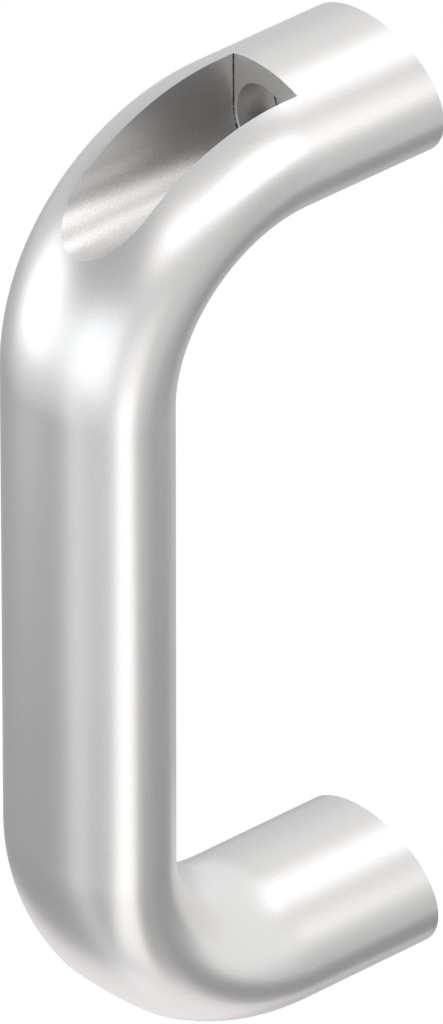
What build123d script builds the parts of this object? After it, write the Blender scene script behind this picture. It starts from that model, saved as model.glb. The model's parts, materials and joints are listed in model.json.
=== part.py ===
from build123d import *

import os

# Oval bow handle: one metal bar, bent into a bow and bolted on from the operator's side.
#
# The bar has an elliptical section and two equal bends. Each leg ends in a flat foot that sits on
# the door or drawer. A screw drops in through a slot that is milled into the outside of the bend:
# its head sits in a round recess in the slot's flat floor, and its shank runs on through the foot.
#
# Frame: +Z runs up the grip, -Y points from the feet to the operator and X crosses the hand.
# The origin lies on the mounting face, half way between the two screws. Sizes are in millimetres.

# The oval bar
grip_width = 26.0
grip_thickness = 17.0

# The bow that it is bent into
hole_spacing = 117.0
projection = 53.0
inner_bend_radius = 17.0

# Seat of each cap screw, with clearances on the diameter
screw_diameter = 6.0
screw_hole_clearance = 0.6
screw_head_diameter = 10.0
head_recess_clearance = 1.0
head_recess_depth = 6.0

# Access slot, wider than the recess by its own clearance
slot_clearance = 1.0
slot_floor_height = 17.0

bend_radius = inner_bend_radius + grip_thickness / 2
grip_reach = projection - grip_thickness / 2
screw_height = hole_spacing / 2

screw_hole_diameter = screw_diameter + screw_hole_clearance
head_recess_diameter = screw_head_diameter + head_recess_clearance
slot_width = head_recess_diameter + slot_clearance

with BuildPart() as bow_handle:
    # The bent bar: the oval follows the bow from the lower foot to the upper one
    with BuildLine(Plane.YZ) as bow:
        FilletPolyline(
            (0, -screw_height),
            (-grip_reach, -screw_height),
            (-grip_reach, screw_height),
            (0, screw_height),
            radius=bend_radius,
        )
    # It is drawn as four quarters, so that the slots cut into the bar's outer faces only
    with BuildSketch(Plane(bow.line @ 0, x_dir=(1, 0, 0), z_dir=bow.line % 0)):
        with BuildLine():
            for start in (0, 90, 180, 270):
                EllipticalCenterArc((0, 0), grip_width / 2, grip_thickness / 2, start, arc_size=90)
        make_face()
    sweep()

    # Each screw's seat, on a plane that faces the operator and whose Y points out of the bow
    for end in (1, -1):
        slot_floor = Plane(
            (0, -slot_floor_height, end * screw_height),
            x_dir=(end, 0, 0),
            z_dir=(0, -1, 0),
        )
        # The slot is round towards the hand and open towards the bow's outside
        with BuildSketch(slot_floor):
            Circle(slot_width / 2)
            Rectangle(slot_width, grip_thickness, align=(Align.CENTER, Align.MIN))
        extrude(amount=projection - slot_floor_height, mode=Mode.SUBTRACT)
        with Locations(slot_floor):
            CounterBoreHole(
                radius=screw_hole_diameter / 2,
                counter_bore_radius=head_recess_diameter / 2,
                counter_bore_depth=head_recess_depth,
                depth=slot_floor_height,
            )

bow_handle.part.label = "bow_handle"

os.makedirs("parts", exist_ok=True)
export_step(bow_handle.part, "parts/bow_handle.step")
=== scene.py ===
import json
import math

import bmesh
import bpy
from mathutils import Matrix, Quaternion, Vector


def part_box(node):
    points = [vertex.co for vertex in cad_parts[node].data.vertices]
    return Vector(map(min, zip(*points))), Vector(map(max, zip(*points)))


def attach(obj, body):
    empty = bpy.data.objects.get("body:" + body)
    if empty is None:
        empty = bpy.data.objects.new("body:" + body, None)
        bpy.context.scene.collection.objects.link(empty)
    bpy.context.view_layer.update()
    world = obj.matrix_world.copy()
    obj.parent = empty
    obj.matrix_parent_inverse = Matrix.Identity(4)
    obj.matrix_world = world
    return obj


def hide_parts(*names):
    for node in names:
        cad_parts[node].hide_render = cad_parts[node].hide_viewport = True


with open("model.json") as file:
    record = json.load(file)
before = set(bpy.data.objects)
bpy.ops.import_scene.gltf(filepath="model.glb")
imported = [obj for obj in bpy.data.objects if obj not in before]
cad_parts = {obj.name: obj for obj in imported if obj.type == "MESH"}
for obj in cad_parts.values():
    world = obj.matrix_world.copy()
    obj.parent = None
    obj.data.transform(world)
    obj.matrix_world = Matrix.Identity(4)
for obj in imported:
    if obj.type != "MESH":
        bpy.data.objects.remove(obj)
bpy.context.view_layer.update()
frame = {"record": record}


# The bow handle: one oval bar of aluminium, bent into a bow and cut off square at its two feet.
# Each leg is then milled from the operator's side with a slot for the key, a round recess for the
# screw's head and a hole for its shank. Two cap screws through the feet hold it to the panel.

low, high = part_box("bow_handle")
mounting_holes = frame["record"]["mounts"][0]["dims"]
hole_spacing = mounting_holes["spacing_y_mm"] / 1000
hole_diameter = mounting_holes["hole_r_mm"] * 2 / 1000

# The frame's mesh is faceted, so its box is read to a tenth of a millimetre
grip_width = round(high[0] - low[0], 4)
projection = round(high[1] - low[1], 4)
grip_thickness = round(high[2] - low[2], 4) - hole_spacing
inner_bend_radius = 0.017
slot_width = 0.012
slot_floor_height = 0.017
recess_diameter = 0.011
recess_depth = 0.006
broken_edge = 0.0001

facets_round_oval = 160
facets_round_bend = 80
facets_round_cutter = 128

# Each cutter marks the faces that it leaves, for the finish and for the normals
skin_mark = 0
slot_mark = 1
recess_mark = 2
hole_mark = 3
edge_mark = 4


class Wire:
    """One socket of a node tree. Sums on wires are written as in Python."""

    def __init__(self, socket):
        self.socket = socket
        self.tree = socket.id_data

    def node(self, kind, inputs, out=0, **settings):
        """A new node of that kind in the wire's tree: its settings first, then its values and wires."""
        made = self.tree.nodes.new(kind)
        for name, value in settings.items():
            setattr(made, name, value)
        for key, value in inputs.items():
            for end in value if isinstance(value, list) else [value]:
                if isinstance(end, Wire):
                    self.tree.links.new(end.socket, made.inputs[key])
                else:
                    made.inputs[key].default_value = end
        return Wire(made.outputs[out])

    def maths(self, operation, first, second):
        return self.node("ShaderNodeMath", {0: first, 1: second}, operation=operation)

    def __add__(self, other):
        return self.maths("ADD", self, other)

    def __radd__(self, other):
        return self.maths("ADD", other, self)

    def __sub__(self, other):
        return self.maths("SUBTRACT", self, other)

    def __rsub__(self, other):
        return self.maths("SUBTRACT", other, self)

    def __mul__(self, other):
        return self.maths("MULTIPLY", self, other)

    def __rmul__(self, other):
        return self.maths("MULTIPLY", other, self)

    def __truediv__(self, other):
        return self.maths("DIVIDE", self, other)

    def __rtruediv__(self, other):
        return self.maths("DIVIDE", other, self)

    def __pow__(self, other):
        return self.maths("POWER", self, other)

    def __rpow__(self, other):
        return self.maths("POWER", other, self)

    def __gt__(self, other):
        return self.maths("GREATER_THAN", self, other)

    def __lt__(self, other):
        return self.maths("LESS_THAN", self, other)

    def __neg__(self):
        return self.maths("MULTIPLY", self, -1)

    def __abs__(self):
        return self.node("ShaderNodeMath", {0: self}, operation="ABSOLUTE")

    def at_least(self, other):
        return self.maths("MAXIMUM", self, other)


# The finish: fine blasting under clear anodising leaves a smooth, satin, faintly warm grey skin. Milled
# faces are a little grainier. The recesses are painted a brighter tone, painted light that stands in for
# the light bouncing into them. A thin dark line of painted shade lies in the corners that the cutters
# leave, thinner and broken round the slot's round end.
metal_tone = 0.75
# Painted light: the recesses get a brighter tone that stands in for light bouncing into them
recess_painted_light_tone = 0.88
metal_tint = (1.01, 1.0, 0.992)
skin_roughness = 0.34
milled_roughness = 0.36
roughness_play = 0.02

cloud_size = 0.012
cloud_contrast = 0.02
speck_size = 0.00025
speck_contrast = 0.13
milled_speck_contrast = 0.4
speck_height = 0.000002
speck_relief = 0.5

# Painted shade: a thin dark line painted into the corners between milled floors and walls
corner_shade_width = 0.00015
corner_shade_darkness = 0.7
corner_shade_gap_size = 0.0006
round_end_gaps = 3
round_end_thinning = 0.5

aluminium = bpy.data.materials.new("anodised_aluminium")
aluminium.use_nodes = True
metal = aluminium.node_tree.nodes["Principled BSDF"]
place = Wire(aluminium.node_tree.nodes.new("ShaderNodeTexCoord").outputs["Object"])
axes = [place.node("ShaderNodeSeparateXYZ", {"Vector": place}, out=axis) for axis in "XYZ"]
across, along, up_grip = axes
cut = place.node("ShaderNodeAttribute", {}, out="Fac", attribute_name="cut")
milled = cut > skin_mark + 0.5
in_recess = cut > slot_mark + 0.5


def grain(size, detail):
    """Noise about zero whose grains are about that many metres across."""
    noise = place.node("ShaderNodeTexNoise", {"Vector": place, "Scale": 1 / size, "Detail": detail})
    return noise - 0.5


# How far a milled face's point lies from the corner between its floor and its wall
inwards = hole_spacing / 2 - abs(up_grip)
slot_run = inwards.at_least(0)
from_slot_wall = slot_width / 2 - (across * across + slot_run * slot_run) ** 0.5
from_slot_floor = -along - slot_floor_height
from_recess_wall = recess_diameter / 2 - (across * across + inwards * inwards) ** 0.5
from_recess_floor = from_slot_floor + recess_depth
from_slot_corner = from_slot_wall + from_slot_floor
from_recess_corner = from_recess_wall + from_recess_floor
from_corner = from_slot_corner + in_recess * (from_recess_corner - from_slot_corner)

cloud = grain(cloud_size, detail=2)
speck = grain(speck_size, detail=1)
gaps = grain(corner_shade_gap_size, detail=0)
at_round_end = inwards > 0
line_width = corner_shade_width * (1 + gaps + at_round_end * (round_end_gaps * gaps - round_end_thinning))
# Painted shade along the milled corners, broken by noise and thinner round the slot's round end
painted_corner_shade = milled * (from_corner < line_width)
# Painted light: the recess, hole and broken edge take the brighter tone
tone_before_corner_shade = metal_tone + (recess_painted_light_tone - metal_tone) * in_recess
contrast = speck_contrast + (milled_speck_contrast - speck_contrast) * milled
tone = tone_before_corner_shade * (1 + cloud_contrast * cloud + speck * contrast) * (1 - corner_shade_darkness * painted_corner_shade)
shade = tone.node(
    "ShaderNodeCombineColor",
    {channel: tone * tint for channel, tint in zip(("Red", "Green", "Blue"), metal_tint)},
)
aluminium.node_tree.links.new(shade.socket, metal.inputs["Base Color"])
even_roughness = skin_roughness + milled * (milled_roughness - skin_roughness)
roughness = even_roughness + roughness_play * (cloud + speck)
aluminium.node_tree.links.new(roughness.socket, metal.inputs["Roughness"])
metal.inputs["Metallic"].default_value = 1.0
texture = speck.node(
    "ShaderNodeBump", {"Height": speck, "Strength": speck_relief, "Distance": speck_height}
)
aluminium.node_tree.links.new(texture.socket, metal.inputs["Normal"])

tree = bpy.data.node_groups.new("bow_handle", "GeometryNodeTree")
tree.interface.new_socket("Handle", in_out="OUTPUT", socket_type="NodeSocketGeometry")
sizes = {
    "Grip width": grip_width,
    "Grip thickness": grip_thickness,
    "Hole spacing": hole_spacing,
    "Projection": projection,
    "Inner bend radius": inner_bend_radius,
    "Hole diameter": hole_diameter,
    "Slot width": slot_width,
    "Slot floor height": slot_floor_height,
    "Recess diameter": recess_diameter,
    "Recess depth": recess_depth,
    "Broken edge": broken_edge,
}
asked = {}
for name in sizes:
    asked[name] = tree.interface.new_socket(name, in_out="INPUT", socket_type="NodeSocketFloat").identifier
entry = tree.nodes.new("NodeGroupInput")
width, thickness, spacing, reach, inner_radius, hole, slot, slot_floor, recess, depth, broken = [
    Wire(entry.outputs[name]) for name in sizes
]


def point(y, z):
    return y.node("ShaderNodeCombineXYZ", {"Y": y, "Z": z})


# The bar: an oval that follows the bow from the lower foot to the upper one
leg = reach - thickness / 2
half = spacing / 2
corners = half.node(
    "GeometryNodeCurvePrimitiveQuadrilateral",
    {
        "Point 1": point(0 * half, -half),
        "Point 2": point(-leg, -half),
        "Point 3": point(-leg, half),
        "Point 4": point(0 * half, half),
    },
    mode="POINTS",
)
open_line = corners.node("GeometryNodeSetSplineCyclic", {"Geometry": corners, "Cyclic": False})
bow = open_line.node(
    "GeometryNodeFilletCurve",
    {"Curve": open_line, "Count": facets_round_bend, "Radius": inner_radius + thickness / 2},
    mode="POLY",
)
circle = width.node("GeometryNodeCurvePrimitiveCircle", {"Resolution": facets_round_oval, "Radius": 0.5})
oval_size = width.node("ShaderNodeCombineXYZ", {"X": width, "Y": thickness, "Z": 1.0})
oval = circle.node("GeometryNodeTransform", {"Geometry": circle, "Scale": oval_size})
bar = bow.node("GeometryNodeCurveToMesh", {"Curve": bow, "Profile Curve": oval, "Fill Caps": True})


# The cutters of one leg stand on the hole's axis and reach out past the bar
def laid_down(tool, height):
    """An upright tool, laid down along the hole's axis with its middle that far from the panel."""
    return tool.node(
        "GeometryNodeTransform",
        {"Geometry": tool, "Translation": point(-height, half), "Rotation": (math.pi / 2, 0, 0)},
    )


def cutter(diameter, start, end):
    """A cylinder on the hole's axis from start to end, in metres from the panel."""
    post = diameter.node(
        "GeometryNodeMeshCylinder",
        {"Vertices": facets_round_cutter, "Radius": diameter / 2, "Depth": end - start},
        fill_type="NGON",
    )
    return laid_down(post, (start + end) / 2)


def marked(tool, mark):
    return tool.node(
        "GeometryNodeStoreNamedAttribute",
        {"Geometry": tool, "Name": "cut", "Value": mark},
        data_type="INT",
        domain="FACE",
    )


round_end = cutter(slot, slot_floor, reach + thickness)
outwards = point(0 * half, thickness)
open_end = round_end.node("GeometryNodeTransform", {"Geometry": round_end, "Translation": outwards})
both_ends = round_end.node("GeometryNodeJoinGeometry", {"Geometry": [round_end, open_end]})
slot_cutter = marked(both_ends.node("GeometryNodeConvexHull", {"Geometry": both_ends}), slot_mark)
recess_cutter = marked(cutter(recess, slot_floor - depth, slot_floor + depth), recess_mark)
hole_cutter = marked(cutter(hole, -depth, slot_floor), hole_mark)
cone = recess.node(
    "GeometryNodeMeshCone",
    {
        "Vertices": facets_round_cutter,
        "Radius Bottom": recess / 2,
        "Radius Top": recess / 2 + 2 * broken,
        "Depth": 2 * broken,
    },
)
edge_cutter = marked(laid_down(cone, slot_floor - broken), edge_mark)
upper = hole.node(
    "GeometryNodeJoinGeometry",
    {"Geometry": [slot_cutter, recess_cutter, hole_cutter, edge_cutter]},
)
lower = upper.node("GeometryNodeTransform", {"Geometry": upper, "Rotation": (0, math.pi, 0)})
seats = upper.node("GeometryNodeJoinGeometry", {"Geometry": [upper, lower]})
cut_bar = bar.node(
    "GeometryNodeMeshBoolean",
    {"Mesh 1": marked(bar, skin_mark), "Mesh 2": seats, "Self Intersection": True},
    operation="DIFFERENCE",
    solver="EXACT",
)
smooth = cut_bar.node("GeometryNodeSetShadeSmooth", {"Geometry": cut_bar})
real = smooth.node("GeometryNodeRealizeInstances", {"Geometry": smooth})
dressed = real.node("GeometryNodeSetMaterial", {"Geometry": real, "Material": aluminium})
tree.links.new(dressed.socket, tree.nodes.new("NodeGroupOutput").inputs["Handle"])

blank = bpy.data.objects.new("bow_handle_blank", bpy.data.meshes.new("bow_handle_blank"))
bpy.context.collection.objects.link(blank)
maker = blank.modifiers.new("bow_handle", "NODES")
maker.node_group = tree
for name, size in sizes.items():
    maker[asked[name]] = size
shape = bpy.data.meshes.new_from_object(blank.evaluated_get(bpy.context.evaluated_depsgraph_get()))
bpy.data.objects.remove(blank)
shape.set_sharp_from_angle(angle=math.radians(30))


# The cuts leave flat patches along their rims, so each round face gets back the normals of its true form
def oval_normal(p):
    """Outward from the bar's oval at p, on the legs, the bends or the grip."""
    bend_radius = inner_bend_radius + grip_thickness / 2
    centre_y = grip_thickness / 2 + bend_radius - projection
    centre_z = hole_spacing / 2 - bend_radius
    out_y = min(p.y - centre_y, 0)
    out_z = max(abs(p.z) - centre_z, 0)
    out = math.hypot(out_y, out_z)
    sideways = p.x / (grip_width / 2) ** 2
    away = (out - bend_radius) / (grip_thickness / 2) ** 2
    end = math.copysign(1, p.z)
    return Vector((sideways, away * out_y / out, end * away * out_z / out)).normalized()


def bore_normal(p, open_side):
    """Towards the screw's axis at p. A slot's sides run straight out past the axis on its open side."""
    off_axis = hole_spacing / 2 - abs(p.z)
    if open_side:
        off_axis = max(off_axis, 0)
    return Vector((-p.x, 0, math.copysign(1, p.z) * off_axis)).normalized()


# Floors and feet lie flat across the screws' axes, and keep the normals that they have
flat_across_axis = 0.9999
to_operator = Vector((0, -1, 0))
normals = [Vector(corner.vector) for corner in shape.corner_normals]
marks = shape.attributes["cut"].data
for face in shape.polygons:
    mark = marks[face.index].value
    if abs(face.normal.y) > flat_across_axis:
        continue
    for corner in face.loop_indices:
        p = shape.vertices[shape.loops[corner].vertex_index].co
        normals[corner] = oval_normal(p) if mark == skin_mark else bore_normal(p, mark == slot_mark)
        if mark == edge_mark:
            normals[corner] = (normals[corner] + to_operator).normalized()
shape.normals_split_custom_set(normals)

handle = bpy.data.objects.new("bow_handle_bar", shape)
bpy.context.collection.objects.link(handle)
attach(handle, "root")
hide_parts("bow_handle")


# The studio: a grey cloth tent round the handle, open at the back to the white background. Softboxes make
# the long highlights on the bar, and grey paper cards the dark bands. Both are placed by the direction and
# by the half angles in which the handle sees them, in degrees.

def towards(azimuth, elevation):
    """The unit vector from the handle in that direction. Azimuth 0 is the operator's side, 90 is +X."""
    a = math.radians(azimuth)
    e = math.radians(elevation)
    return Vector((math.sin(a) * math.cos(e), -math.cos(a) * math.cos(e), math.sin(e)))


def facing(azimuth, elevation, tilt=0):
    """The turn that makes a flat thing there face the handle. Seen from behind, tilt leans it left."""
    upright = towards(azimuth, elevation).to_track_quat("Z", "Y")
    return upright @ Quaternion((0, 0, 1), math.radians(tilt))


def spread(half_angle, distance):
    """The half size that spans that angle at that distance."""
    return distance * math.tan(math.radians(half_angle))


warm_white = (1.01, 1.0, 0.985)
cool_white = (0.96, 1.0, 1.04)


def softbox(name, distance, azimuth, elevation, wide, tall, brightness, tilt=0, colour=warm_white):
    """A flat lamp of that brightness, where 1 is white. The camera doesn't see it."""
    lamp = bpy.data.lights.new(name, "AREA")
    lamp.shape = "RECTANGLE"
    lamp.size = 2 * spread(wide, distance)
    lamp.size_y = 2 * spread(tall, distance)
    lamp.energy = brightness * math.pi * lamp.size * lamp.size_y
    lamp.color = colour
    box = bpy.data.objects.new(name, lamp)
    box.location = towards(azimuth, elevation) * distance
    box.rotation_euler = facing(azimuth, elevation, tilt).to_euler()
    box.visible_camera = False
    bpy.context.collection.objects.link(box)


softbox("upper_right_box", distance=1.6, azimuth=53, elevation=47, wide=18, tall=12, brightness=1.2)
softbox("upper_back_box", distance=0.6, azimuth=103, elevation=50, wide=16, tall=16, brightness=1.5)
softbox("back_top_box", distance=1.2, azimuth=-158, elevation=55, wide=13, tall=10, brightness=1.2)
softbox(
    "left_box", distance=1.8, azimuth=-52, elevation=0, wide=15, tall=16, brightness=1.15, colour=cool_white
)
softbox(
    "gap_fill", distance=1.2, azimuth=-28, elevation=0, wide=24, tall=11, brightness=0.6, colour=cool_white
)
softbox(
    "front_box", distance=1.2, azimuth=11, elevation=1, wide=18, tall=16, brightness=0.9, colour=cool_white
)
softbox("right_fill", distance=1.8, azimuth=54, elevation=-11, wide=15, tall=15, brightness=0.5)
softbox(
    "front_fill",
    distance=0.17,
    azimuth=-1,
    elevation=-37,
    wide=5,
    tall=38,
    brightness=0.35,
    tilt=10,
    colour=cool_white,
)
softbox(
    "front_strip", distance=0.21, azimuth=44.5, elevation=-36, wide=12, tall=27, brightness=0.9, tilt=-8
)


def paper(name, grey, colour):
    """Paper or cloth that shows the handle one even shade, whatever light falls on it."""
    even = bpy.data.materials.new(name)
    even.use_nodes = True
    surface = even.node_tree.nodes["Principled BSDF"]
    surface.inputs["Base Color"].default_value = (0, 0, 0, 1)
    surface.inputs["Specular IOR Level"].default_value = 0
    surface.inputs["Emission Color"].default_value = (*colour, 1)
    surface.inputs["Emission Strength"].default_value = grey
    even.cycles.emission_sampling = "NONE"
    return even


def stand(name, mesh, grey, colour=(1, 1, 1), seen=False):
    """Puts a mesh of that paper on the stage. Only the floor is seen by the camera."""
    mesh.materials.append(paper(name, grey, colour))
    thing = bpy.data.objects.new(name, mesh)
    thing.visible_camera = seen
    bpy.context.collection.objects.link(thing)
    return thing


def card(name, distance, azimuth, elevation, wide, tall, grey, tilt=0):
    x = spread(wide, distance)
    y = spread(tall, distance)
    sheet = bpy.data.meshes.new(name)
    sheet.from_pydata([(-x, -y, 0), (x, -y, 0), (x, y, 0), (-x, y, 0)], [], [(0, 1, 2, 3)])
    board = stand(name, sheet, grey)
    board.location = towards(azimuth, elevation) * distance
    board.rotation_euler = facing(azimuth, elevation, tilt).to_euler()


card("top_card", distance=2.3, azimuth=-29, elevation=36, wide=62, tall=22, grey=0.47)
card("left_card", distance=0.29, azimuth=-79, elevation=-39, wide=55, tall=9, grey=0.36, tilt=-5)
card("left_side_card", distance=2.1, azimuth=-90, elevation=-25, wide=19, tall=10, grey=0.47)
card("right_card", distance=0.22, azimuth=144, elevation=-53, wide=21, tall=15, grey=0.34, tilt=22)
card("right_side_card", distance=1.35, azimuth=114, elevation=-14, wide=8, tall=26, grey=0.53)

tent_radius = 4.0
tent_grey = 0.715
tent_panels_round = 144
opening_azimuth = 183
opening_elevation = 7
opening_wide = 51
opening_tall = 44
dome = bmesh.new()
bmesh.ops.create_uvsphere(
    dome, u_segments=tent_panels_round, v_segments=tent_panels_round // 2, radius=tent_radius
)
into_opening = facing(opening_azimuth, opening_elevation).inverted()
open_faces = []
for face in dome.faces:
    seen = into_opening @ face.calc_center_median()
    in_width = abs(seen.x) < spread(opening_wide, seen.z)
    in_height = abs(seen.y) < spread(opening_tall, seen.z)
    if in_width and in_height:
        open_faces.append(face)
bmesh.ops.delete(dome, geom=open_faces, context="FACES")
tent = bpy.data.meshes.new("tent")
dome.to_mesh(tent)
dome.free()
stand("tent", tent, tent_grey)

white = bpy.data.worlds.new("white_studio")
white.use_nodes = True
white.node_tree.nodes["Background"].inputs["Color"].default_value = (1, 1, 1, 1)
white.node_tree.nodes["Background"].inputs["Strength"].default_value = 1.0
bpy.context.scene.world = white
bpy.context.scene.view_settings.view_transform = "Standard"


# The floor: a round white sheet under the handle, with a faint rose cast, in the middle of a darker table.
# A level grey shelf, behind the handle and below it, keeps the white floor out of the bar's edges.

floor_depth = 0.226
floor_centre = Vector((-0.046, 0.095, -floor_depth))
floor_radius = 0.2
floor_white = 1.0
floor_rose = (1.03, 1, 1)
table_radius = 0.425
table_grey = 0.365
table_sides = 96
shelf_height = -0.17
shelf_front = 0.02
shelf_back = 0.45
shelf_left = -0.35
shelf_right = 0.02
shelf_grey = 0.57

turns = [math.tau * side / table_sides for side in range(table_sides)]
inner_rim = [floor_centre + floor_radius * Vector((math.cos(t), math.sin(t), 0)) for t in turns]
outer_rim = [floor_centre + table_radius * Vector((math.cos(t), math.sin(t), 0)) for t in turns]
floor = bpy.data.meshes.new("floor")
floor.from_pydata(inner_rim, [], [range(table_sides)])
stand("floor", floor, floor_white, floor_rose, seen=True)

table = bpy.data.meshes.new("table")
table.from_pydata(
    inner_rim + outer_rim,
    [],
    [
        (i, table_sides + i, table_sides + (i + 1) % table_sides, (i + 1) % table_sides)
        for i in range(table_sides)
    ],
)
stand("table", table, table_grey)

shelf = bpy.data.meshes.new("shelf")
shelf.from_pydata(
    [
        (shelf_left, shelf_front, shelf_height),
        (shelf_right, shelf_front, shelf_height),
        (shelf_right, shelf_back, shelf_height),
        (shelf_left, shelf_back, shelf_height),
    ],
    [],
    [(0, 1, 2, 3)],
)
stand("shelf", shelf, shelf_grey)


# The camera: far off with a long lens, because the photograph has no perspective to speak of. It looks
# down on the handle from the operator's right, along a line that passes a little beside the origin.

camera_azimuth = 50.576
camera_elevation = 34.773
camera_distance = 2.55
pixels_per_metre = 8224.2
image_height = 1024
aim_right = -0.018370
aim_up = -0.004144

lens = bpy.data.cameras.new("camera")
lens.sensor_width = 36
lens.lens = lens.sensor_width * camera_distance * pixels_per_metre / image_height
lens.clip_end = 100
camera = bpy.data.objects.new("camera", lens)
turned = facing(camera_azimuth, camera_elevation)
camera.rotation_euler = turned.to_euler()
camera.location = turned @ Vector((aim_right, aim_up, camera_distance))
bpy.context.collection.objects.link(camera)
bpy.context.scene.camera = camera
